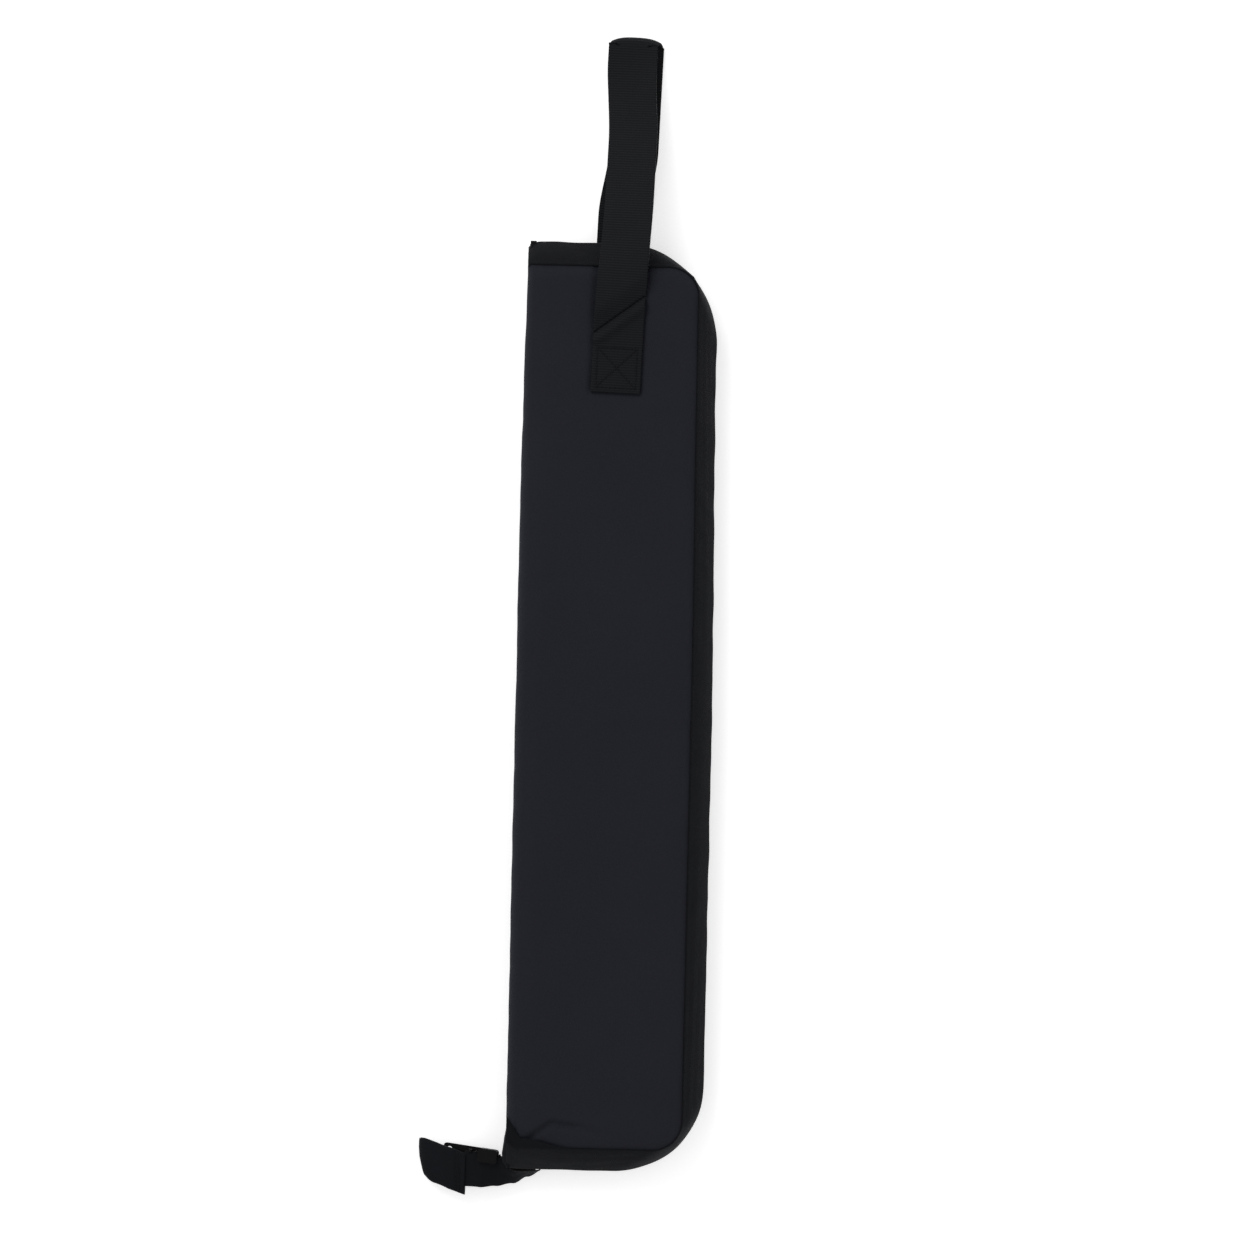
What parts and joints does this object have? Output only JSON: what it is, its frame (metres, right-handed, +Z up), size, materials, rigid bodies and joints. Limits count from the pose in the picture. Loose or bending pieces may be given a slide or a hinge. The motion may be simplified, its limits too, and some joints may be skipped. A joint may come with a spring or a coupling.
{
  "type": "drum stick bag",
  "caption": "Slim padded case for drum sticks, zipped round its sides to open like a book, with a sleeve, an elastic keeper, a carry loop and a loose zip tail.",
  "frame": {"origin": "middle of the closed bag's footprint, on the outer face of the back cover, which it lies on", "axes": "+X across the bag from its spine to the zip, +Y along the bag towards the handle, +Z up through its thickness, from the back cover to the front cover"},
  "size_m": [0.1428, 0.5838, 0.028],
  "materials": {
    "outer_fabric": "600 denier polyester plain weave, near black with a faint blue cast, matt with a soft sheen",
    "foam": "closed-cell foam sheet",
    "lining": "smooth woven nylon lining, black",
    "zip_tape": "herringbone woven zip tape, black",
    "zip_coil": "nylon coil, black, satin",
    "binding": "ribbed bias binding, black",
    "elastic": "knitted ribbed elastic, black",
    "webbing": "polypropylene webbing with fine cross ribs, black",
    "thread": "bonded polyester thread, black",
    "tab_fabric": "folded woven polyester, black",
    "zip_metal": "black oxide zinc alloy, slightly worn"
  },
  "bodies": {
    "back_cover": {"back_outer_fabric": "outer_fabric", "back_foam_pad": "foam", "back_lining": "lining", "back_zip_tape": "zip_tape", "back_zip_coil": "zip_coil", "back_zip_top_stop": "zip_metal", "back_seam_binding": "binding", "stick_sleeve": "lining", "sleeve_binding": "binding", "elastic_keeper": "elastic", "handle_back_leg": "webbing", "handle_back_stitching": "thread"},
    "spine": {"spine_fabric": "outer_fabric", "spine_lining": "lining", "spine_top_gusset": "zip_tape", "spine_bottom_gusset": "zip_tape"},
    "front_cover": {"front_outer_fabric": "outer_fabric", "front_foam_pad": "foam", "front_lining": "lining", "front_zip_tape": "zip_tape", "front_zip_coil": "zip_coil", "front_zip_top_stop": "zip_metal", "front_seam_binding": "binding", "handle_front_leg": "webbing", "handle_front_stitching": "thread"},
    "tail": {"tail_upper_tape": "zip_tape", "tail_lower_tape": "zip_tape", "tail_upper_coil": "zip_coil", "tail_lower_coil": "zip_coil", "tail_bottom_stop": "zip_metal", "tail_end_tab": "tab_fabric", "tab_stitching": "thread"},
    "slider": {"slider_body": "zip_metal", "slider_crown": "zip_metal"},
    "pull": {"pull_tab": "zip_metal"}
  },
  "joints": [
    {"name": "spine_fold", "type": "hinge", "parent": "back_cover", "child": "spine", "pos_m": [-0.049, 0, 0], "axis": [0, -1, 0], "range_deg": [0, 90]},
    {"name": "cover_fold", "type": "hinge", "parent": "spine", "child": "front_cover", "pos_m": [-0.049, 0, 0.028], "axis": [0, -1, 0], "range_deg": [0, 90]},
    {"name": "tail_turn", "type": "hinge", "parent": "spine", "child": "tail", "pos_m": [-0.046, -0.237, 0.013], "axis": [-0.6589, -0.4941, 0.5673], "range_deg": [0, 118.33]},
    {"name": "slider_run", "type": "slide", "parent": "tail", "child": "slider", "axis": [0.9793, -0.1146, 0.1667], "range_m": [0, 0.0035]},
    {"name": "pull_swing", "type": "hinge", "parent": "slider", "child": "pull", "pos_m": [-0.05782, -0.22907, 0.0069], "axis": [-0.1162, -0.9932, 0], "range_deg": [0, 100]}
  ],
  "couplings": [
    {"joint": "cover_fold", "follows": "spine_fold", "ratio": 1},
    {"joint": "tail_turn", "follows": "spine_fold", "ratio": 1.3148}
  ]
}
